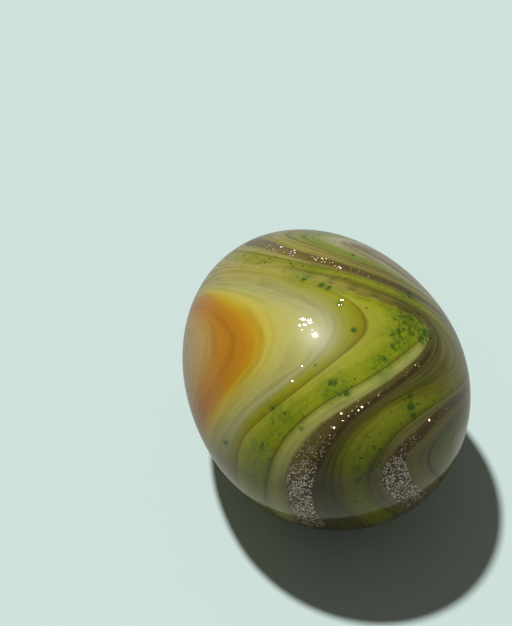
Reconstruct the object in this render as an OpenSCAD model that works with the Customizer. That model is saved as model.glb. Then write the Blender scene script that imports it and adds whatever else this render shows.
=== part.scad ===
// Handmade glass marble, a ball that set slightly egg shaped.
// It lies on its side as it comes to rest: +Y points to the narrow end, +Z is up,
// and the origin is under the middle of its box, on the surface that it lies on.

/* [Marble] */
// Length from the widest girth to the narrow end
nose_len = 16.2; // [14.5:0.1:20]
// Length from the widest girth to the blunt end
butt_len = 13.2; // [12:0.1:16]
// Width across the girth
girth_w = 23.8; // [20:0.1:27]
// Height of the girth, which is a little flatter than it is wide
girth_h = 23.2; // [20:0.1:27]

/* [Hidden] */
$fn = 160;

// Half an ellipsoid balances at this share of its length
balance_share = 3 / 8;
// Where the whole marble balances, from the girth towards the narrow end
balance = balance_share * (nose_len - butt_len);
// The longer half is the heavier one, and it dips until the balance is over the contact
long_len = max(nose_len, butt_len);
spread = pow(long_len, 2) - pow(girth_h / 2, 2);
rest_dip = asin(balance * girth_h / 2 / sqrt(spread * (spread - pow(balance, 2))));

// How far the dipped marble reaches from the middle of its girth, along Y and Z
function reach(y, z) =
    let (
        along = y * cos(rest_dip) - z * sin(rest_dip),
        across = y * sin(rest_dip) + z * cos(rest_dip),
        half_len = along > 0 ? nose_len : butt_len
    )
    norm([half_len * along, girth_h / 2 * across]);

girth_y = (reach(-1, 0) - reach(1, 0)) / 2;
girth_z = reach(0, -1);

// The half of an ellipsoid that points along +Y, as long as given and cut flat at the girth
module half_marble(half_len) {
    intersection() {
        scale([girth_w / 2, half_len, girth_h / 2]) sphere(r = 1);
        translate([-girth_w, 0, -girth_h]) cube([2 * girth_w, 2 * half_len, 2 * girth_h]);
    }
}

module marble() {
    color([0.56, 0.55, 0.24])
    translate([0, girth_y, girth_z])
    rotate([-rest_dip, 0, 0]) {
        half_marble(nose_len);
        mirror([0, 1, 0]) half_marble(butt_len);
    }
}

marble();
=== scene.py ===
import math

import bpy
import numpy as np
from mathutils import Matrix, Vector


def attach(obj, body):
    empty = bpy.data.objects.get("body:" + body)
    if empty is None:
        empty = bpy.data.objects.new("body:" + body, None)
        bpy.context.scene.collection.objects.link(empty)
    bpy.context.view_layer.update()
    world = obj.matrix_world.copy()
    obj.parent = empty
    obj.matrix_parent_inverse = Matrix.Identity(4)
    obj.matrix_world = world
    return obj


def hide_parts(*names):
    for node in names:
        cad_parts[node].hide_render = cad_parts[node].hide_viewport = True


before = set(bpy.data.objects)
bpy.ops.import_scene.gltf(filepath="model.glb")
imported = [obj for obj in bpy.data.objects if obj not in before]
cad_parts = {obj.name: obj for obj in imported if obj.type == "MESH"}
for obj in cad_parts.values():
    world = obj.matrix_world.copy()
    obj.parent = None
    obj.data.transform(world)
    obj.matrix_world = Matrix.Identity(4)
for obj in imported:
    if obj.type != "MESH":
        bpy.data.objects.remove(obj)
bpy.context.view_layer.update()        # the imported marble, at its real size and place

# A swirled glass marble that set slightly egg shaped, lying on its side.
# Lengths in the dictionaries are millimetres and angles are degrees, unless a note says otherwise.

mm = 0.001


def linearColour(hexCode):
    channels = [int(hexCode[i:i + 2], 16) / 255 for i in (1, 3, 5)]
    linear = [c / 12.92 if c <= 0.04045 else ((c + 0.055) / 1.055) ** 2.4 for c in channels]
    return (*linear, 1.0)


def addNode(tree, kind, settings=None, inputs=None):
    node = tree.nodes.new(kind)
    for name, value in (settings or {}).items():
        setattr(node, name, value)
    for key, value in (inputs or {}).items():
        if isinstance(value, bpy.types.NodeSocket):
            tree.links.new(value, node.inputs[key])
        else:
            node.inputs[key].default_value = value
    return node


def facing(turn, elevation):
    # right, up and outward directions as seen from a turn about the marble and an elevation
    a, e = math.radians(turn), math.radians(elevation)
    outward = Vector((math.sin(a) * math.cos(e), -math.cos(a) * math.cos(e), math.sin(e)))
    right = Vector((math.cos(a), math.sin(a), 0))
    return right, outward.cross(right), outward


# The marble's form: two half ellipsoids that share one girth, laid down as it comes to rest.
marbleForm = {
    "noseLength": 16.2,        # girth to narrow end
    "buttLength": 13.2,        # girth to blunt end
    "girthWidth": 23.8,
    "girthHeight": 23.2,
    "unevenness": 0.05,        # how far the rolled surface wanders in or out
    "unevennessSize": 9.0,     # across one such swelling
    "facesPerSide": 128,       # whole number, along each side of the cube that is rounded
}


def restingPlace(form):
    # how far the heavier end dips when the marble lies still, and where the girth's middle is then
    lower = form["girthHeight"] / 2
    balance = 3 / 8 * (form["noseLength"] - form["buttLength"])
    spread = max(form["noseLength"], form["buttLength"]) ** 2 - lower ** 2
    dip = math.asin(balance * lower / math.sqrt(spread * (spread - balance ** 2)))

    def reach(y, z):
        along = y * math.cos(dip) - z * math.sin(dip)
        across = y * math.sin(dip) + z * math.cos(dip)
        halfLength = form["noseLength"] if along > 0 else form["buttLength"]
        return math.hypot(halfLength * along, lower * across)

    return dip, (reach(-1, 0) - reach(1, 0)) / 2, reach(0, -1)


def buildFormTree(material):
    tree = bpy.data.node_groups.new("marbleForm", "GeometryNodeTree")
    tree.interface.new_socket(name="Geometry", in_out="OUTPUT", socket_type="NodeSocketGeometry")
    names = ["Nose Length", "Butt Length", "Girth Width", "Girth Height", "Dip", "Girth Y", "Girth Z",
             "Unevenness", "Unevenness Size"]
    for name in names:
        tree.interface.new_socket(name=name, in_out="INPUT", socket_type="NodeSocketFloat")
    tree.interface.new_socket(name="Side Vertices", in_out="INPUT", socket_type="NodeSocketInt")
    size = addNode(tree, "NodeGroupInput").outputs

    # a cube whose faces are spaced evenly by angle once they are rounded to a ball
    cube = addNode(tree, "GeometryNodeMeshCube", inputs={
        "Size": (2, 2, 2), "Vertices X": size["Side Vertices"], "Vertices Y": size["Side Vertices"],
        "Vertices Z": size["Side Vertices"]})
    place = addNode(tree, "GeometryNodeInputPosition")
    angle = addNode(tree, "ShaderNodeVectorMath", {"operation": "SCALE"},
                    {0: place.outputs[0], "Scale": math.pi / 4})
    spaced = addNode(tree, "ShaderNodeVectorMath", {"operation": "TANGENT"}, {0: angle.outputs[0]})
    ball = addNode(tree, "ShaderNodeVectorMath", {"operation": "NORMALIZE"}, {0: spaced.outputs[0]})

    # two half ellipsoids that share one girth
    axis = addNode(tree, "ShaderNodeSeparateXYZ", inputs={0: ball.outputs[0]})
    towardsNose = addNode(tree, "FunctionNodeCompare", {"operation": "GREATER_THAN"},
                          {"A": axis.outputs["Y"], "B": 0.0})
    halfLength = addNode(tree, "GeometryNodeSwitch", {"input_type": "FLOAT"}, {
        "Switch": towardsNose.outputs[0], "False": size["Butt Length"], "True": size["Nose Length"]})
    halfSizes = addNode(tree, "ShaderNodeCombineXYZ", inputs={
        "X": addNode(tree, "ShaderNodeMath", {"operation": "MULTIPLY"},
                     {0: size["Girth Width"], 1: 0.5}).outputs[0],
        "Y": halfLength.outputs[0],
        "Z": addNode(tree, "ShaderNodeMath", {"operation": "MULTIPLY"},
                     {0: size["Girth Height"], 1: 0.5}).outputs[0]})
    egg = addNode(tree, "ShaderNodeVectorMath", {"operation": "MULTIPLY"},
                  {0: ball.outputs[0], 1: halfSizes.outputs[0]})

    # soft swellings left by rolling it while hot
    frequency = addNode(tree, "ShaderNodeMath", {"operation": "DIVIDE"},
                        {0: 1.0, 1: size["Unevenness Size"]})
    swelling = addNode(tree, "ShaderNodeTexNoise", {"noise_dimensions": "3D"}, {
        "Vector": egg.outputs[0], "Scale": frequency.outputs[0], "Detail": 1.0})
    centred = addNode(tree, "ShaderNodeMath", {"operation": "SUBTRACT"},
                      {0: swelling.outputs[0], 1: 0.5})
    lift = addNode(tree, "ShaderNodeMath", {"operation": "MULTIPLY"},
                   {0: centred.outputs[0], 1: size["Unevenness"]})
    push = addNode(tree, "ShaderNodeVectorMath", {"operation": "SCALE"},
                   {0: ball.outputs[0], "Scale": lift.outputs[0]})
    uneven = addNode(tree, "ShaderNodeVectorMath", {"operation": "ADD"},
                     {0: egg.outputs[0], 1: push.outputs[0]})

    # laid down as it comes to rest
    noseDown = addNode(tree, "ShaderNodeMath", {"operation": "MULTIPLY"}, {0: size["Dip"], 1: -1.0})
    dipped = addNode(tree, "ShaderNodeVectorRotate", {"rotation_type": "X_AXIS"},
                     {"Vector": uneven.outputs[0], "Angle": noseDown.outputs[0]})
    girthPlace = addNode(tree, "ShaderNodeCombineXYZ",
                         inputs={"Y": size["Girth Y"], "Z": size["Girth Z"]})
    laid = addNode(tree, "ShaderNodeVectorMath", {"operation": "ADD"},
                   {0: dipped.outputs[0], 1: girthPlace.outputs[0]})
    shaped = addNode(tree, "GeometryNodeSetPosition",
                     inputs={"Geometry": cube.outputs["Mesh"], "Position": laid.outputs[0]})
    smooth = addNode(tree, "GeometryNodeSetShadeSmooth", inputs={"Geometry": shaped.outputs[0]})
    real = addNode(tree, "GeometryNodeRealizeInstances", inputs={"Geometry": smooth.outputs[0]})
    finished = addNode(tree, "GeometryNodeSetMaterial",
                       inputs={"Geometry": real.outputs[0], "Material": material})
    addNode(tree, "NodeGroupOutput", inputs={0: finished.outputs[0]})
    return tree


def buildMarble(form, material):
    dip, girthY, girthZ = restingPlace(form)
    tree = buildFormTree(material)
    values = {
        "Nose Length": form["noseLength"] * mm, "Butt Length": form["buttLength"] * mm,
        "Girth Width": form["girthWidth"] * mm, "Girth Height": form["girthHeight"] * mm,
        "Dip": dip, "Girth Y": girthY * mm, "Girth Z": girthZ * mm,
        "Unevenness": form["unevenness"] * mm, "Unevenness Size": form["unevennessSize"] * mm,
        "Side Vertices": form["facesPerSide"] + 1,
    }
    holder = bpy.data.objects.new("marbleHolder", bpy.data.meshes.new("marbleHolder"))
    bpy.context.collection.objects.link(holder)
    modifier = holder.modifiers.new("form", "NODES")
    modifier.node_group = tree
    for socket in tree.interface.items_tree:
        if socket.in_out == "INPUT":
            modifier[socket.identifier] = values[socket.name]
    evaluated = holder.evaluated_get(bpy.context.evaluated_depsgraph_get())
    mesh = bpy.data.meshes.new_from_object(evaluated)
    bpy.data.objects.remove(holder)
    mesh.name = "swirledMarble"
    marble = bpy.data.objects.new("swirledMarble", mesh)
    bpy.context.collection.objects.link(marble)
    return marble


# The swirl: layers of coloured glass, numbered from the heart of the orange eye outwards.
swirlFace = {"turn": -26, "elevation": 54}        # the side that the eye and the folds are seen from
swirlFold = {
    "pathStep": 2.0,        # between the points that stand for a smooth line
    "give": 0.0002,         # how loosely the layers follow the lines
    "softening": 8,         # whole number of times each place is evened out with its neighbours
    "batch": 4096,          # places worked out together, to keep the memory small
}
# Each line is where one layer ends on the surface: its number, then points that it runs through,
# as degrees of arc to the right and up from the middle of that side.
faceLines = [
    (0.4, [(-80, 20), (-71, 8), (-74, -8)]),
    (1.0, [(-76, 36), (-60, 29), (-53, 17), (-53, 8), (-58, 0), (-74, -16)]),
    (2.0, [(-72, 48), (-53, 38), (-38, 28), (-30, 15), (-33, 4), (-45, -9), (-60, -24), (-69, -34)]),
    (2.5, [(-69, 52), (-48, 42), (-30, 31), (-22, 16), (-27, 3), (-40, -11), (-53, -27), (-66, -46)]),
    (2.8, [(-46, 45), (-26, 34), (-14, 25), (-11, 16), (-17, 4), (-29, -8), (-45, -23), (-55, -38)]),
    (3.2, [(-70, 52), (-46, 47), (-22, 37), (-6, 28), (0, 18), (-6, 6), (-18, -4), (-35, -17),
           (-48, -34), (-56, -52)]),
    (3.6, [(-68, 56), (-44, 52), (-23, 43), (-7, 34), (2, 26), (4, 19), (-2, 8), (-14, -2)]),
    (4.0, [(-66, 60), (-42, 56), (-24, 49), (-9, 39), (3, 29), (7, 20), (3, 10), (-10, -1), (-28, -16),
           (-39, -30), (-43, -41), (-46, -58)]),
    (5.0, [(-64, 62), (-42, 58), (-22, 50), (-5, 43), (6, 37), (13, 31), (17, 23), (15, 15), (7, 8),
           (-8, -4), (-22, -15), (-33, -25), (-38, -35), (-41, -48), (-44, -62)]),
    (6.0, [(12, 35), (22, 31), (31, 24), (33, 18), (26, 12), (10, 2), (-6, -8), (-24, -22)]),
    (7.0, [(8, 38), (18, 36), (28, 32), (38, 28), (44, 23), (44, 17), (36, 12), (26, 5), (13, -3), (0, -10),
           (-12, -20), (-20, -32), (-24, -44), (-27, -60)]),
    (8.0, [(46, 22), (46, 16), (39, 8), (28, 0), (18, -6), (8, -12), (-2, -19), (-10, -29), (-14, -38),
           (-15, -50), (-12, -62), (-11, -74)]),
    (9.0, [(-63, 66), (-42, 59), (-24, 53), (-6, 47), (12, 39), (30, 33), (42, 28), (49, 21), (48, 14),
           (41, 6), (30, -2), (18, -10), (8, -17), (0, -29), (-4, -40), (-4, -52), (1, -65)]),
    (11.0, [(-61, 69), (-42, 60), (-22, 54), (-2, 48), (20, 41), (36, 35), (49, 27), (59, 17), (58, 7),
            (46, -2), (34, -6), (22, -11), (12, -19), (6, -28), (4, -38), (7, -50)]),
    (11.8, [(-57, 73), (-42, 67), (-27, 60), (-10, 54)]),
    (12.5, [(-52, 76), (-34, 67), (-12, 58), (11, 50), (32, 42), (52, 33), (68, 21), (76, 9), (72, 0),
            (58, -6), (42, -12), (29, -19), (20, -28), (16, -37), (18, -47)]),
    (13.0, [(-46, 80), (-29, 69), (-12, 60), (10, 52), (32, 44), (54, 35), (70, 23), (80, 8), (75, -3),
            (60, -8), (44, -14), (32, -22), (24, -29), (21, -37), (25, -46), (37, -57)]),
    (14.0, [(-36, 84), (-24, 74), (-12, 67), (8, 58), (28, 49), (49, 40), (70, 29), (84, 8), (77, -7),
            (64, -10), (48, -16), (38, -23), (31, -29), (31, -35), (37, -44), (46, -52)]),
    (15.5, [(8, 97), (-5, 94), (-17, 91), (-22, 85), (-13, 76), (-1, 69), (12, 62), (25, 57), (41, 50),
            (60, 40), (78, 28), (91, 10), (84, -6), (68, -13), (54, -17), (43, -25), (40, -32), (44, -39),
            (54, -48), (64, -58)]),
    (17.0, [(34, 87), (20, 85), (6, 83), (3, 78), (15, 71), (31, 61), (46, 51), (62, 42), (80, 32),
            (96, 16), (98, 2), (88, -14), (74, -22), (64, -30), (66, -38), (76, -47)]),
    (17.6, [(18, 80), (25, 72), (38, 63), (52, 51), (70, 42), (88, 32), (102, 16)]),
]
# the same, as seen from the opposite side
farLines = [
    (2.0, [(75, 46), (70, 32), (66, 14), (66, -4), (69, -22), (76, -40)]),
    (4.0, [(68, 57), (64, 42), (58, 24), (54, 4), (53, -16), (52, -36), (50, -58)]),
    (5.0, [(66, 60), (61, 46), (52, 28), (46, 8), (43, -12), (41, -32), (42, -52), (50, -70)]),
    (7.0, [(64, 64), (57, 50), (46, 32), (36, 12), (29, -10), (25, -32), (24, -54), (28, -84)]),
    (9.0, [(62, 67), (53, 52), (40, 34), (26, 14), (17, -8), (11, -30), (6, -54), (0, -86)]),
    (11.0, [(58, 69), (47, 54), (32, 37), (16, 18), (4, -4), (-4, -26), (-12, -50), (-20, -82)]),
    (13.0, [(45, 77), (33, 62), (17, 46), (0, 28), (-13, 8), (-22, -14), (-31, -38), (-42, -64)]),
    (14.0, [(38, 81), (25, 68), (8, 55), (-10, 38), (-24, 20), (-33, -2), (-42, -26), (-52, -58)]),
    (15.5, [(-16, 70), (-26, 54), (-36, 36), (-44, 16), (-49, -4), (-54, -26), (-59, -46)]),
    (17.0, [(-34, 80), (-44, 66), (-52, 46), (-59, 26), (-62, 4), (-66, -16), (-72, -36)]),
    (18.6, [(-62, 58), (-70, 36), (-74, 14), (-80, -8)]),
]


def directionAt(right, up, side):
    # the direction from the marble's middle to a point given in degrees on one side; side is 1 or -1
    rightWay, upWay, outward = (np.array(v) for v in facing(**swirlFace))
    arc = math.hypot(right, up)
    around = (side * right * rightWay + up * upWay) / max(arc, 1e-9)
    return math.sin(math.radians(arc)) * around + side * math.cos(math.radians(arc)) * outward


def smoothPath(points, side):
    # a smooth curve over the ball through the points of one line
    corners = [directionAt(right, up, side) for right, up in points]
    corners = [2 * corners[0] - corners[1], *corners, 2 * corners[-1] - corners[-2]]
    path = []
    for before, start, end, after in zip(corners, corners[1:], corners[2:], corners[3:]):
        steps = max(1, round(math.degrees(np.linalg.norm(end - start)) / swirlFold["pathStep"]))
        for t in np.arange(steps) / steps:
            path.append(start + 0.5 * t * (end - before + t * (2 * before - 5 * start + 4 * end - after
                                                               + t * (3 * (start - end) + after - before))))
    path.append(corners[-2])
    return [point / np.linalg.norm(point) for point in path]


def distances(a, b):
    # straight through the ball, from each direction of one list to each of the other
    return np.sqrt(np.maximum(2 - 2 * a @ b.T, 0))


def foldSwirl(directions):
    # The layer number in each direction: a smooth field that takes each line's number along that line.
    # It is a weighted sum of the distances to all the lines' points, plus an even slope.
    knots, numbers = [], []
    for side, lines in ((1, faceLines), (-1, farLines)):
        for number, points in lines:
            path = smoothPath(points, side)
            knots += path
            numbers += [number] * len(path)
    knots = np.array(knots)
    count = len(knots)
    flat = np.hstack([np.ones((count, 1)), knots])
    system = np.zeros((count + 4, count + 4))
    system[:count, :count] = distances(knots, knots) - swirlFold["give"] * np.eye(count)
    system[:count, count:] = flat
    system[count:, :count] = flat.T
    weights = np.linalg.solve(system, np.concatenate([numbers, np.zeros(4)]))
    field = np.empty(len(directions))
    batch = swirlFold["batch"]
    for start in range(0, len(directions), batch):
        part = directions[start:start + batch]
        field[start:start + batch] = (distances(part, knots) @ weights[:count] + weights[count]
                                      + part @ weights[count + 1:])
    return field


def vertexDirections(mesh):
    # from the middle of the marble's box to each vertex
    places = np.empty(len(mesh.vertices) * 3, dtype=np.float32)
    mesh.vertices.foreach_get("co", places)
    places = places.reshape(-1, 3).astype(float)
    directions = places - (places.min(axis=0) + places.max(axis=0)) / 2
    return directions / np.linalg.norm(directions, axis=1)[:, None]


def storeSwirl(marble):
    mesh = marble.data
    field = foldSwirl(vertexDirections(mesh))
    edges = np.empty(len(mesh.edges) * 2, dtype=np.int32)
    mesh.edges.foreach_get("vertices", edges)
    ends = np.concatenate([edges[::2], edges[1::2]])
    others = np.concatenate([edges[1::2], edges[::2]])
    neighbours = np.bincount(ends, minlength=len(field))
    for _ in range(swirlFold["softening"]):
        field = (field + np.bincount(ends, field[others], len(field)) / neighbours) / 2
    mesh.attributes.new("swirl", "FLOAT", "POINT").data.foreach_set("value", field.astype(np.float32))
    print("swirl layers run from", round(field.min(), 2), "to", round(field.max(), 2))


# Each layer's colour where it starts or ends, by layer number.
innerColours = [
    (0.0, "#B49C70"), (0.5, "#B89850"), (0.85, "#BA8E30"), (1.05, "#B67A14"), (1.7, "#B27606"),
    (1.95, "#B88A06"), (2.1, "#BE9A14"), (2.4, "#BEAF40"), (2.65, "#B5AE54"), (2.9, "#ACAA62"),
    (3.1, "#A2A05E"), (3.35, "#A8A66A"), (3.7, "#999751"), (3.9, "#959643"), (4.1, "#94922A"),
    (4.4, "#8F8F12"), (4.7, "#8C8806"), (4.9, "#827E05"), (4.98, "#746A04"), (5.03, "#807A10"),
    (5.1, "#A1A32E"), (5.6, "#9EA226"), (6.0, "#90980F"), (6.6, "#8E9A0A"), (6.93, "#8C920A"),
    (6.99, "#706A0A"), (7.04, "#747018"), (7.13, "#949834"), (7.4, "#AEB056"), (7.8, "#A4A45A"),
    (8.02, "#625820"), (9.0, "#584A14"),
]
outerColours = [
    (8.0, "#625820"), (8.3, "#54461A"), (8.8, "#463A12"), (9.0, "#3C3410"), (9.12, "#46421A"),
    (9.5, "#565324"), (10.1, "#585923"), (10.6, "#575A12"), (10.9, "#625F0A"), (11.0, "#504C08"),
    (11.06, "#6B6B12"), (11.4, "#747612"), (11.8, "#868B1A"), (12.3, "#80890C"), (12.46, "#727408"),
    (12.51, "#5E5E10"), (12.6, "#868848"), (12.95, "#827A44"), (13.03, "#5E4E20"), (13.95, "#5C4E22"),
    (14.05, "#7C7A38"), (14.7, "#8C8846"), (15.35, "#848042"), (15.5, "#553A1C"), (15.62, "#768032"),
    (16.2, "#7C8E32"), (16.7, "#84923E"), (17.0, "#C6C49C"), (17.45, "#CACAAA"), (17.6, "#765A44"),
    (17.75, "#A4947E"), (18.6, "#AEB096"),
]
# What shows through where the layers are drawn out thin, by millimetres across the eye's side.
thinColours = [
    (-8.0, "#A89E54"), (-2.0, "#9C9440"), (4.0, "#746C20"), (7.5, "#665C1A"), (10.0, "#8A8846"),
]
# How much copper glitter, green crystal and streaking each layer holds, from 0 to 1.
layerContents = [
    (0.0, (0, 0, 0.4)), (3.4, (0, 0, 0.4)), (3.9, (0, 0.1, 0.25)), (4.95, (0, 0.3, 0.25)),
    (5.05, (0, 0.1, 0.15)), (5.7, (0, 0.35, 0.25)), (6.9, (0, 1, 0.3)), (7.05, (0, 0.2, 0.25)),
    (7.96, (0, 0.05, 0.5)), (8.04, (1, 0, 0.5)), (8.96, (1, 0, 0.5)), (9.04, (0, 0, 0.7)),
    (10.9, (0, 0.1, 0.8)), (11.4, (0, 0.3, 0.6)), (11.9, (0, 1, 0.4)), (12.45, (0, 1, 0.5)),
    (12.6, (0, 0, 0.9)), (12.96, (0, 0, 0.9)), (13.04, (1, 0, 0.6)), (13.96, (1, 0, 0.6)),
    (14.04, (0, 0, 0.6)), (15.5, (0, 0.1, 0.7)), (15.7, (0, 0.6, 0.5)), (16.6, (0, 0.8, 0.5)),
    (17.0, (0, 0, 0.6)), (18.6, (0, 0, 0.8)),
]
# What gathers at places on the eye's side: degrees of arc to the right and up from the side's middle,
# then a radius in degrees and a strength.
glassPlaces = {
    "crystals": [        # green crystals, the strongest ones solid
        (-10, 46, 2.1, 1), (-1, 42, 1.8, 1), (2, 40, 1.7, 1), (12, 18, 1.4, 1), (3, -3, 2.2, 1),
        (8, -7, 1.5, 1), (32, -12, 1.9, 1), (33, -15, 1.3, 1), (-20, -13, 1.2, 0.9), (-20, -17, 1.1, 0.9),
        (-9, -20, 1.2, 1), (-25, -29, 1.2, 1), (-45, -31, 1.8, 0.8), (32, -8, 1.1, 0.9), (31, 18, 1.8, 1),
        (39, 25, 1.6, 1), (44, 18, 1.8, 1), (27, 11, 1.6, 1), (23, 6, 1.3, 1), (12, -38, 1.8, 0.8),
        (12, -33, 1.5, 0.8), (18, -26, 1.3, 0.8), (13, -30, 1.2, 0.8), (42, 39, 2.0, 0.9),
        (7, 31, 1.4, 0.9),
        # the haze round them
        (37, 22, 8, 0.8), (43, 17, 6, 0.8), (30, 14, 7, 0.6), (22, 3, 6, 0.5), (4, -5, 6, 0.5),
        (-16, -16, 8, 0.45), (-26, -32, 7, 0.4), (16, -32, 8, 0.45), (-10, 50, 7, 0.4), (40, 40, 5, 0.4),
    ],
    "glitter": [         # copper flakes lying close together
        (-10, -52, 26, 1), (26, -42, 14, 1), (32, -50, 16, 1), (-26, 76, 14, 0.7),
    ],
    "pale": [            # dark layers drawn out so thin that the pale ones show through
        (-68, 66, 12, 1), (-52, 62, 10, 1), (-38, 58, 9, 1), (-26, 55, 8, 1), (-14, 51, 7, 0.95),
        (-2, 46, 5, 1), (8, 41.5, 4.5, 1), (18, 37.5, 4, 1), (28, 33.5, 4, 1), (38, 29, 3.5, 1),
        (44, 24.5, 3, 1), (52, 20, 8, 0.6), (56, 12, 9, 0.7), (60, 2, 9, 0.6), (50, 0, 7, 0.4),
        (-10, 76, 20, 0.55), (20, 68, 18, 0.5), (46, 56, 18, 0.45), (70, 36, 16, 0.4),
    ],
    "plain": [           # where the copper layers are squeezed away
        (-68, 66, 10, 1), (-52, 62, 9, 1), (-38, 58, 7, 1), (-26, 54, 6, 1), (-14, 50, 5, 1),
        (-2, 46, 5, 1), (8, 42, 5, 1), (18, 38, 5, 1), (28, 34, 5, 1), (38, 30, 5, 1), (45, 25, 5, 1),
        (48, 18, 5, 1), (45, 11, 4, 0.7), (27, -4, 6, 0.5),
    ],
    "squeezed": [        # the pearly layer too thin to show
        (-26, 54, 6, 1), (-14, 50, 5, 1), (-2, 46, 5, 1), (8, 41, 5, 1), (18, 37, 5, 1), (28, 33, 5, 1),
        (36, 30, 5, 1), (43, 26, 4, 1),
    ],
    "flats": [           # tiny flat spots that flash together
        (-9, 22, 2.8, 1), (-7, 18, 2, 0.9), (-8, 3, 1.3, 0.6), (-12, -2, 0.8, 0.6), (-11, -9, 0.7, 0.6),
        (7.3, 31.2, 1.4, 1), (12, -12, 2.6, 1), (6, -15.5, 2.4, 1), (17, -9, 1.8, 0.6), (2, -20, 1.6, 0.7),
        (1, 60, 3, 0.8), (8, 57, 2.6, 0.7), (40, -17, 1.2, 0.7),
    ],
}
hillFoot = 1.5             # how far out a place fades away, in radii; it is full up to one radius less


def layerRamp(tree, layer, stops):
    # a ramp over layer numbers or millimetres, from hex colours or plain values
    low, high = stops[0][0], stops[-1][0]
    position = addNode(tree, "ShaderNodeMapRange", inputs={
        "Value": layer, "From Min": low, "From Max": high})
    ramp = addNode(tree, "ShaderNodeValToRGB", inputs={"Fac": position.outputs[0]})
    elements = ramp.color_ramp.elements
    elements.remove(elements[1])
    for index, (number, value) in enumerate(stops):
        at = (number - low) / (high - low)
        element = elements[0] if index == 0 else elements.new(at)
        element.position = at
        element.color = linearColour(value) if isinstance(value, str) else (*value, 1.0)
    return ramp.outputs["Color"]


def storePlaces(marble, name, places):
    # a soft hill at each place, as a number on every vertex
    mesh = marble.data
    directions = vertexDirections(mesh)
    hills = np.zeros(len(directions))
    for right, up, radius, strength in places:
        away = np.degrees(np.arccos(np.clip(directions @ directionAt(right, up, 1), -1, 1)))
        hills = np.maximum(hills, strength * np.clip(hillFoot - away / radius, 0, 1))
    mesh.attributes.new(name, "FLOAT", "POINT").data.foreach_set("value", hills.astype(np.float32))


layerFinish = {
    "outerFrom": 8.5,          # the layer where the outer list of colours takes over
    "wander": 0.05,            # how far a layer's edge strays, in layers
    "wanderSize": 1.6,
    "copperLoss": 1.5,         # how soon the copper goes where it is squeezed away
    "colourKept": 0.65,        # by the green and copper layers where the rest is drawn out thin
    "pearlyLayer": 8.0,        # the middle of the pearly layer, and its reach to each side, in layers
    "pearlyReach": 0.95,
    "thinStreaks": 0.5,        # streaking added where the layers are drawn out thin
}


def foldLayers(tree, place, masks):
    # each layer's colour and what it holds, with edges that stray a little
    finish = layerFinish
    stray = addNode(tree, "ShaderNodeTexNoise", inputs={
        "Vector": place, "Scale": 1 / (finish["wanderSize"] * mm), "Detail": 2.0})
    shift = addNode(tree, "ShaderNodeMapRange", inputs={
        "Value": stray.outputs[0], "To Min": -finish["wander"], "To Max": finish["wander"]})
    layer = addNode(tree, "ShaderNodeMath", {"operation": "ADD"},
                    {0: masks["swirl"], 1: shift.outputs[0]}).outputs[0]
    isOuter = addNode(tree, "ShaderNodeMath", {"operation": "GREATER_THAN"},
                      {0: layer, 1: finish["outerFrom"]})
    layered = addNode(tree, "ShaderNodeMix", {"data_type": "RGBA"}, {
        "Factor": isOuter.outputs[0], "A": layerRamp(tree, layer, innerColours),
        "B": layerRamp(tree, layer, outerColours)})
    contents = addNode(tree, "ShaderNodeSeparateColor", inputs={
        0: layerRamp(tree, layer, layerContents)})
    copperHeld, crystal, streaky = contents.outputs
    copper = addNode(tree, "ShaderNodeMath", {"operation": "MULTIPLY_ADD", "use_clamp": True}, {
        0: masks["plain"], 1: -finish["copperLoss"], 2: copperHeld}).outputs[0]

    # dark layers that are drawn out thin; the green and copper ones keep most of their colour
    strong = addNode(tree, "ShaderNodeMath", {"operation": "MAXIMUM"}, {0: crystal, 1: copper})
    fade = addNode(tree, "ShaderNodeMath", {"operation": "MULTIPLY_ADD"}, {
        0: strong.outputs[0], 1: -finish["colourKept"], 2: 1.0})
    thinned = addNode(tree, "ShaderNodeMath", {"operation": "MULTIPLY"},
                      {0: fade.outputs[0], 1: masks["pale"]})
    isPearly = addNode(tree, "ShaderNodeMath", {"operation": "COMPARE"}, {
        0: layer, 1: finish["pearlyLayer"], 2: finish["pearlyReach"]})
    hidden = addNode(tree, "ShaderNodeMath", {"operation": "MULTIPLY", "use_clamp": True},
                     {0: isPearly.outputs[0], 1: masks["squeezed"]})
    thin = addNode(tree, "ShaderNodeMath", {"operation": "MAXIMUM"},
                   {0: hidden.outputs[0], 1: thinned.outputs[0]})
    sideways = addNode(tree, "ShaderNodeVectorMath", {"operation": "DOT_PRODUCT"}, {
        0: place, 1: facing(**swirlFace)[0] / mm})
    coloured = addNode(tree, "ShaderNodeMix", {"data_type": "RGBA"}, {
        "Factor": thin.outputs[0], "A": layered.outputs["Result"],
        "B": layerRamp(tree, sideways.outputs["Value"], thinColours)})
    streaky = addNode(tree, "ShaderNodeMath", {"operation": "MULTIPLY_ADD", "use_clamp": True}, {
        0: masks["pale"], 1: finish["thinStreaks"], 2: streaky}).outputs[0]
    return layer, copper, crystal, streaky, coloured.outputs["Result"]


streakFinish = {
    "perLayer": 3.2,           # streaks side by side in one layer
    "run": 9.0,                # how far a streak runs before it changes
    "fineness": 0.62,          # share of each finer set of streaks, from 0 to 1
    "dark": "#B49A58",
    "light": "#4E4A1C",
    "darkFrom": 0.5,           # where each starts and is full, in the pattern's values of about 0.3 to 0.7
    "darkFull": 0.68,
    "lightFrom": 0.5,
    "lightFull": 0.3,
}


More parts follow.
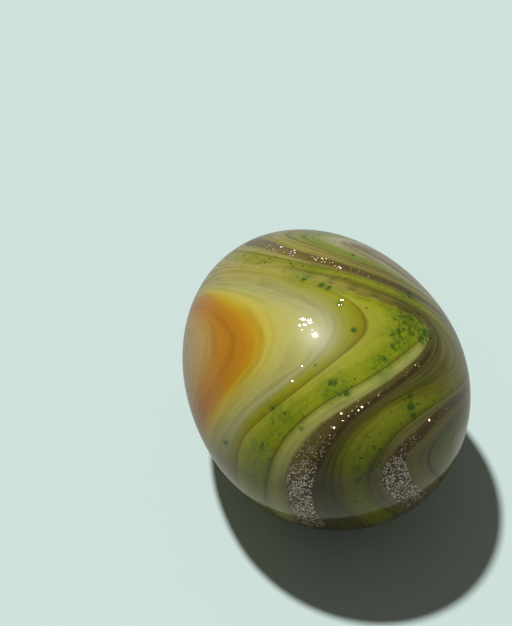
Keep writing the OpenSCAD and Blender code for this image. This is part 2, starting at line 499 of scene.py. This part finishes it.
def addStreaks(tree, place, layer, streaky, coloured):
    # streaks along the layers; the noise scales its fourth number too, so that is divided out here
    finish = streakFinish
    scale = 1 / (finish["run"] * mm)
    across = addNode(tree, "ShaderNodeMath", {"operation": "MULTIPLY"},
                     {0: layer, 1: finish["perLayer"] / scale})
    streak = addNode(tree, "ShaderNodeTexNoise", {"noise_dimensions": "4D"}, {
        "Vector": place, "W": across.outputs[0], "Scale": scale, "Detail": 4.0,
        "Roughness": finish["fineness"]})
    for blend, kind in (("MULTIPLY", "dark"), ("SCREEN", "light")):
        depth = addNode(tree, "ShaderNodeMapRange", inputs={
            "Value": streak.outputs[0], "From Min": finish[kind + "From"],
            "From Max": finish[kind + "Full"], "To Max": streaky})
        coloured = addNode(tree, "ShaderNodeMix", {"data_type": "RGBA", "blend_type": blend}, {
            "Factor": depth.outputs[0], "A": coloured,
            "B": linearColour(finish[kind])}).outputs["Result"]
    return coloured


crystalFinish = {
    "grit": 0.35,              # size of the raggedness of the crystals' edges
    "push": 0.16,              # how far it moves a speck's edge
    "patch": 0.9,              # size of the patches in the green haze
    "patchFrom": 0.35,         # noise values where a patch starts, and where it is thickest
    "patchFull": 0.6,
    "patchThin": 0.2,          # the haze between the patches, and in them
    "patchThick": 1.2,
    "mottleFrom": 0.54,        # noise values where the mottling starts, and where it is darkest
    "mottleFull": 0.72,
    "specks": [(0.55, 0.3, 0.3), (1.2, 0.2, 0.22)],    # spacing, radius as a part of it, share of places
    "speckCore": 0.3,          # part of a speck's radius that has its full colour
    "specksByPlace": 0.5,      # how much a crystal's hill adds to the layer's own specks
    "gritInEdge": 2.2,         # how much the raggedness counts beside a solid crystal's hill
    "edgeFrom": 1.75,          # where that sum starts to be solid crystal, and where it all is
    "edgeFull": 2.15,
    "solidity": 0.92,
    "haze": "#96C27C",
    "mottle": "#A8C47C",
    "speck": "#6E8438",
    "solid": "#36560A",
}


def addCrystals(tree, place, hills, crystal, coloured):
    # green crystals: a haze round the big ones, then specks of two sizes, then the big ones
    finish = crystalFinish
    ragged = addNode(tree, "ShaderNodeTexNoise", inputs={
        "Vector": place, "Scale": 1 / (finish["grit"] * mm), "Detail": 3.0, "Roughness": 0.65})
    push = addNode(tree, "ShaderNodeVectorMath", {"operation": "SCALE"},
                   {0: ragged.outputs["Color"], "Scale": finish["push"] * mm})
    roughPlace = addNode(tree, "ShaderNodeVectorMath", {"operation": "ADD"},
                         {0: place, 1: push.outputs[0]})
    density = addNode(tree, "ShaderNodeMath", {"operation": "MULTIPLY_ADD"},
                      {0: hills, 1: finish["specksByPlace"], 2: crystal})
    patch = addNode(tree, "ShaderNodeTexNoise", inputs={
        "Vector": place, "Scale": 1 / (finish["patch"] * mm), "Detail": 3.0, "Roughness": 0.6})
    cloud = addNode(tree, "ShaderNodeMapRange", inputs={
        "Value": patch.outputs[0], "From Min": finish["patchFrom"], "From Max": finish["patchFull"],
        "To Min": finish["patchThin"], "To Max": finish["patchThick"]})
    haze = addNode(tree, "ShaderNodeMath", {"operation": "MULTIPLY", "use_clamp": True},
                   {0: hills, 1: cloud.outputs[0]})
    mottle = addNode(tree, "ShaderNodeMapRange", inputs={
        "Value": ragged.outputs[0], "From Min": finish["mottleFrom"], "From Max": finish["mottleFull"]})
    mottled = addNode(tree, "ShaderNodeMath", {"operation": "MULTIPLY", "use_clamp": True},
                      {0: mottle.outputs[0], 1: density.outputs[0]})
    tints = [(haze, finish["haze"]), (mottled, finish["mottle"])]
    for spacing, radius, share in finish["specks"]:
        cell = addNode(tree, "ShaderNodeTexVoronoi", inputs={
            "Vector": roughPlace.outputs[0], "Scale": 1 / (spacing * mm)})
        pick = addNode(tree, "ShaderNodeSeparateColor", inputs={0: cell.outputs["Color"]})
        wanted = addNode(tree, "ShaderNodeMath", {"operation": "MULTIPLY"},
                         {0: density.outputs[0], 1: share})
        isThere = addNode(tree, "ShaderNodeMath", {"operation": "LESS_THAN"},
                          {0: pick.outputs[0], 1: wanted.outputs[0]})
        speck = addNode(tree, "ShaderNodeMapRange", inputs={
            "Value": cell.outputs["Distance"], "From Min": radius * finish["speckCore"],
            "From Max": radius, "To Min": isThere.outputs[0], "To Max": 0.0})
        tints.append((speck, finish["speck"]))
    for amount, tint in tints:
        coloured = addNode(tree, "ShaderNodeMix", {"data_type": "RGBA", "blend_type": "MULTIPLY"}, {
            "Factor": amount.outputs[0], "A": coloured, "B": linearColour(tint)}).outputs["Result"]
    raggedHill = addNode(tree, "ShaderNodeMath", {"operation": "MULTIPLY_ADD"},
                         {0: ragged.outputs[0], 1: finish["gritInEdge"], 2: hills})
    isSolid = addNode(tree, "ShaderNodeMapRange", inputs={
        "Value": raggedHill.outputs[0], "From Min": finish["edgeFrom"],
        "From Max": finish["edgeFull"], "To Max": finish["solidity"]})
    return addNode(tree, "ShaderNodeMix", {"data_type": "RGBA"}, {
        "Factor": isSolid.outputs[0], "A": coloured,
        "B": linearColour(finish["solid"])}).outputs["Result"]


flatFinish = {
    "spacing": 0.28,           # between the places where a flat spot can be
    "smallest": 0.06,          # radius, as a part of the spacing
    "largest": 0.42,
    "turn": -61,               # the way that all the flat spots face
    "elevation": 77,
}


def flatSpots(tree, place, hills):
    # where the tiny flat spots are, on the skin and on some of the copper flakes
    finish = flatFinish
    spot = addNode(tree, "ShaderNodeTexVoronoi", inputs={
        "Vector": place, "Scale": 1 / (finish["spacing"] * mm)})
    pick = addNode(tree, "ShaderNodeSeparateColor", inputs={0: spot.outputs["Color"]})
    isThere = addNode(tree, "ShaderNodeMath", {"operation": "LESS_THAN"},
                      {0: pick.outputs[0], 1: hills})
    size = addNode(tree, "ShaderNodeMapRange", inputs={
        "Value": pick.outputs[1], "To Min": finish["smallest"], "To Max": finish["largest"]})
    isInside = addNode(tree, "ShaderNodeMath", {"operation": "LESS_THAN"},
                       {0: spot.outputs["Distance"], 1: size.outputs[0]})
    return addNode(tree, "ShaderNodeMath", {"operation": "MULTIPLY"},
                   {0: isThere.outputs[0], 1: isInside.outputs[0]}).outputs[0]


def facingFlat(tree, amount, direction):
    # the direction that a surface faces, turned to the way of the flat spots
    flatWay = tuple(facing(flatFinish["turn"], flatFinish["elevation"])[2])
    turned = addNode(tree, "ShaderNodeMix", {"data_type": "VECTOR"}, {
        "Factor": amount, "A": direction, "B": flatWay})
    return addNode(tree, "ShaderNodeVectorMath", {"operation": "NORMALIZE"},
                   {0: turned.outputs["Result"]}).outputs[0]


glitterFinish = {
    "size": 0.17,              # copper flakes, drawn about twice their real size so that they show
    "radius": 0.5,             # as a part of the size
    "leastShare": 0.22,        # share of the places that hold a flake, away from where glitter gathers
    "mostShare": 0.8,
    "lean": 1.1,               # how far the flakes turn out of the surface
    "roughness": 0.42,
    "brightByChance": 0.3,     # how much of a flake's brightness is chance, and how much the gathering
    "brightByPlace": 0.7,
    "dull": "#5C441C",
    "bright": "#FFF0DC",
}


def addGlitter(tree, place, hills, copper, flat, coloured):
    # copper glitter: thin metal flakes, each lying its own way
    finish = glitterFinish
    flake = addNode(tree, "ShaderNodeTexVoronoi", inputs={
        "Vector": place, "Scale": 1 / (finish["size"] * mm)})
    pick = addNode(tree, "ShaderNodeSeparateColor", inputs={0: flake.outputs["Color"]})
    share = addNode(tree, "ShaderNodeMapRange", inputs={
        "Value": hills, "To Min": finish["leastShare"], "To Max": finish["mostShare"]})
    isThere = addNode(tree, "ShaderNodeMath", {"operation": "LESS_THAN"},
                      {0: pick.outputs[0], 1: share.outputs[0]})
    isInside = addNode(tree, "ShaderNodeMath", {"operation": "LESS_THAN"},
                       {0: flake.outputs["Distance"], 1: finish["radius"]})
    isFlake = addNode(tree, "ShaderNodeMath", {"operation": "MULTIPLY"},
                      {0: isThere.outputs[0], 1: isInside.outputs[0]})
    either = addNode(tree, "ShaderNodeMath", {"operation": "MAXIMUM"}, {0: isFlake.outputs[0], 1: flat})
    metal = addNode(tree, "ShaderNodeMath", {"operation": "MULTIPLY"},
                    {0: either.outputs[0], 1: copper}).outputs[0]
    gathered = addNode(tree, "ShaderNodeMath", {"operation": "MULTIPLY"},
                       {0: hills, 1: finish["brightByPlace"]})
    tone = addNode(tree, "ShaderNodeMath", {"operation": "MULTIPLY_ADD", "use_clamp": True}, {
        0: pick.outputs[1], 1: finish["brightByChance"], 2: gathered.outputs[0]})
    flakeColour = addNode(tree, "ShaderNodeMix", {"data_type": "RGBA"}, {
        "Factor": tone.outputs[0], "A": linearColour(finish["dull"]),
        "B": linearColour(finish["bright"])})
    coloured = addNode(tree, "ShaderNodeMix", {"data_type": "RGBA"}, {
        "Factor": metal, "A": coloured, "B": flakeColour.outputs["Result"]}).outputs["Result"]

    # each flake's own lean, except on the flat spots
    centred = addNode(tree, "ShaderNodeVectorMath", {"operation": "SUBTRACT"},
                      {0: flake.outputs["Color"], 1: (0.5, 0.5, 0.5)})
    leanAmount = addNode(tree, "ShaderNodeMath", {"operation": "MULTIPLY"}, {0: metal, 1: finish["lean"]})
    lean = addNode(tree, "ShaderNodeVectorMath", {"operation": "SCALE"},
                   {0: centred.outputs[0], "Scale": leanAmount.outputs[0]})
    surface = addNode(tree, "ShaderNodeNewGeometry").outputs["Normal"]
    leaning = addNode(tree, "ShaderNodeVectorMath", {"operation": "ADD"},
                      {0: surface, 1: lean.outputs[0]})
    flatMetal = addNode(tree, "ShaderNodeMath", {"operation": "MULTIPLY"}, {0: flat, 1: copper})
    return coloured, metal, facingFlat(tree, flatMetal.outputs[0], leaning.outputs[0])


skinFinish = {
    "gloss": 0.03,             # roughness of the fire-polished skin
    "ripple": 0.012,           # height of its faint waviness
    "rippleSize": 1.1,
    "flatLayers": 5.5,         # it has flat spots over the layers up to this one
    "skinIor": 1.52,
    "bodyRoughness": 0.38,     # of the glass under the skin
    "bodyGloss": 0.22,
    "bodyIor": 1.5,
}


def clearSkin(tree, place, layer, flat):
    # the direction that the skin faces: faintly rippled, with flat spots on the pale heart
    finish = skinFinish
    ripple = addNode(tree, "ShaderNodeTexNoise", inputs={
        "Vector": place, "Scale": 1 / (finish["rippleSize"] * mm), "Detail": 1.0})
    rippled = addNode(tree, "ShaderNodeBump", inputs={
        "Height": ripple.outputs[0], "Distance": finish["ripple"] * mm})
    isHeart = addNode(tree, "ShaderNodeMath", {"operation": "LESS_THAN"},
                      {0: layer, 1: finish["flatLayers"]})
    flatSkin = addNode(tree, "ShaderNodeMath", {"operation": "MULTIPLY"},
                       {0: flat, 1: isHeart.outputs[0]})
    return facingFlat(tree, flatSkin.outputs[0], rippled.outputs[0])


def swirledGlass():
    # Opaque soda-lime glass, several colours folded together hot and fire-polished: crisp flowing layers
    # with fine streaks along them, green crystals and copper glitter, all under a wet-looking clear gloss.
    material = bpy.data.materials.new("firePolishedSwirledGlass")
    material.use_nodes = True
    tree = material.node_tree
    tree.nodes.clear()
    place = addNode(tree, "ShaderNodeTexCoord").outputs["Object"]
    masks = {name: addNode(tree, "ShaderNodeAttribute", {"attribute_name": name}).outputs["Fac"]
             for name in ("swirl", *glassPlaces)}
    layer, copper, crystal, streaky, coloured = foldLayers(tree, place, masks)
    coloured = addStreaks(tree, place, layer, streaky, coloured)
    coloured = addCrystals(tree, place, masks["crystals"], crystal, coloured)
    flat = flatSpots(tree, place, masks["flats"])
    coloured, metal, bodyNormal = addGlitter(tree, place, masks["glitter"], copper, flat, coloured)
    bodyRoughness = addNode(tree, "ShaderNodeMapRange", inputs={
        "Value": metal, "To Min": skinFinish["bodyRoughness"], "To Max": glitterFinish["roughness"]})
    glass = addNode(tree, "ShaderNodeBsdfPrincipled", inputs={
        "Base Color": coloured, "Roughness": bodyRoughness.outputs[0], "Metallic": metal,
        "IOR": skinFinish["bodyIor"], "Specular IOR Level": skinFinish["bodyGloss"], "Normal": bodyNormal,
        "Coat Weight": 1.0, "Coat Roughness": skinFinish["gloss"], "Coat IOR": skinFinish["skinIor"],
        "Coat Normal": clearSkin(tree, place, layer, flat)})
    addNode(tree, "ShaderNodeOutputMaterial", inputs={"Surface": glass.outputs[0]})
    return material


floorLook = {
    "size": 3000,
    "colour": "#C6D8D4",       # plain matte card
    "litNear": 0.4,            # share of its light that reaches the marble from close by
    "litFar": 0.15,            # and from far off
    "litReach": 200,           # how far off that is
    "litColour": "#E2E6DE",
}
lighting = {
    "sunTurn": 13,             # from straight beyond the narrow end, towards the marble's left
    "sunElevation": 69,
    "sunStrength": 3.3,        # watts per square metre
    "sunAngle": 3.5,           # how wide the lamp looks, so how soft the shadow's edge is
    "sunColour": "#FFFFFF",
    "roomStrength": 0.13,
    "roomColour": "#FAF7EA",
    "backdropColour": "#CFDDDA",
}
cameraPlace = {
    "turn": -26,               # from straight behind the blunt end, towards the marble's left
    "elevation": 53,
    "distance": 350,
    "lens": 232,
    "leftOfMarble": 6.4,       # where it aims, beside and above the girth's middle in its own view
    "aboveMarble": 6.45,
    "nearLimit": 10,           # what is nearer than this isn't seen
}


def buildFloor(look):
    half = look["size"] * mm / 2
    mesh = bpy.data.meshes.new("floor")
    corners = [(-half, -half, 0), (half, -half, 0), (half, half, 0), (-half, half, 0)]
    mesh.from_pydata(corners, [], [(0, 1, 2, 3)])
    floor = bpy.data.objects.new("floor", mesh)
    bpy.context.collection.objects.link(floor)
    # the camera sees an even floor, but the marble sees it dimmed, as by black cards round a table
    material = bpy.data.materials.new("matteCard")
    material.use_nodes = True
    tree = material.node_tree
    tree.nodes.clear()
    distance = addNode(tree, "ShaderNodeVectorMath", {"operation": "LENGTH"},
                       {0: addNode(tree, "ShaderNodeTexCoord").outputs["Object"]})
    share = addNode(tree, "ShaderNodeMapRange", {"interpolation_type": "SMOOTHSTEP"}, {
        "Value": distance.outputs["Value"], "From Max": look["litReach"] * mm, "To Min": look["litNear"],
        "To Max": look["litFar"]})
    dimmed = addNode(tree, "ShaderNodeVectorMath", {"operation": "SCALE"},
                     {0: linearColour(look["litColour"])[:3], "Scale": share.outputs[0]})
    colour = addNode(tree, "ShaderNodeMix", {"data_type": "RGBA"}, {
        "Factor": addNode(tree, "ShaderNodeLightPath").outputs["Is Camera Ray"],
        "A": dimmed.outputs[0], "B": linearColour(look["colour"])})
    card = addNode(tree, "ShaderNodeBsdfDiffuse", inputs={"Color": colour.outputs["Result"]})
    addNode(tree, "ShaderNodeOutputMaterial", inputs={"Surface": card.outputs[0]})
    mesh.materials.append(material)


def buildLight(light):
    lamp = bpy.data.lights.new("key", "SUN")
    lamp.energy = light["sunStrength"]
    lamp.angle = math.radians(light["sunAngle"])
    lamp.color = linearColour(light["sunColour"])[:3]
    sun = bpy.data.objects.new("key", lamp)
    a, e = math.radians(light["sunTurn"]), math.radians(light["sunElevation"])
    towards = Vector((-math.sin(a) * math.cos(e), math.cos(a) * math.cos(e), math.sin(e)))
    sun.rotation_euler = towards.to_track_quat("Z", "Y").to_euler()
    bpy.context.collection.objects.link(sun)
    # a dim even room, seen by the camera as a pale backdrop
    world = bpy.data.worlds.new("room")
    world.use_nodes = True
    tree = world.node_tree
    tree.nodes.clear()
    isSeen = addNode(tree, "ShaderNodeLightPath").outputs["Is Camera Ray"]
    room = addNode(tree, "ShaderNodeBackground", inputs={
        "Color": linearColour(light["roomColour"]), "Strength": light["roomStrength"]})
    backdrop = addNode(tree, "ShaderNodeBackground", inputs={
        "Color": linearColour(light["backdropColour"])})
    shown = addNode(tree, "ShaderNodeMixShader", inputs={
        0: isSeen, 1: room.outputs[0], 2: backdrop.outputs[0]})
    addNode(tree, "ShaderNodeOutputWorld", inputs={"Surface": shown.outputs[0]})
    bpy.context.scene.world = world


def buildCamera(place, form):
    right, up, back = facing(place["turn"], place["elevation"])
    _, girthY, girthZ = restingPlace(form)
    aim = Vector((0, girthY, girthZ)) - right * place["leftOfMarble"] + up * place["aboveMarble"]
    lens = bpy.data.cameras.new("camera")
    lens.lens = place["lens"]
    lens.clip_start = place["nearLimit"] * mm
    camera = bpy.data.objects.new("camera", lens)
    camera.location = (aim + back * place["distance"]) * mm
    camera.rotation_euler = back.to_track_quat("Z", "Y").to_euler()
    bpy.context.collection.objects.link(camera)
    bpy.context.scene.camera = camera


buildCamera(cameraPlace, marbleForm)
buildLight(lighting)
buildFloor(floorLook)
bpy.context.scene.view_settings.view_transform = "Standard"
print("camera, light and floor are set")

marble = buildMarble(marbleForm, swirledGlass())
print("marble has", len(marble.data.polygons), "faces")
storeSwirl(marble)
for name, places in glassPlaces.items():
    storePlaces(marble, name, places)

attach(marble, "root")
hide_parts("marble")
print("marble rides in place of the plain one")
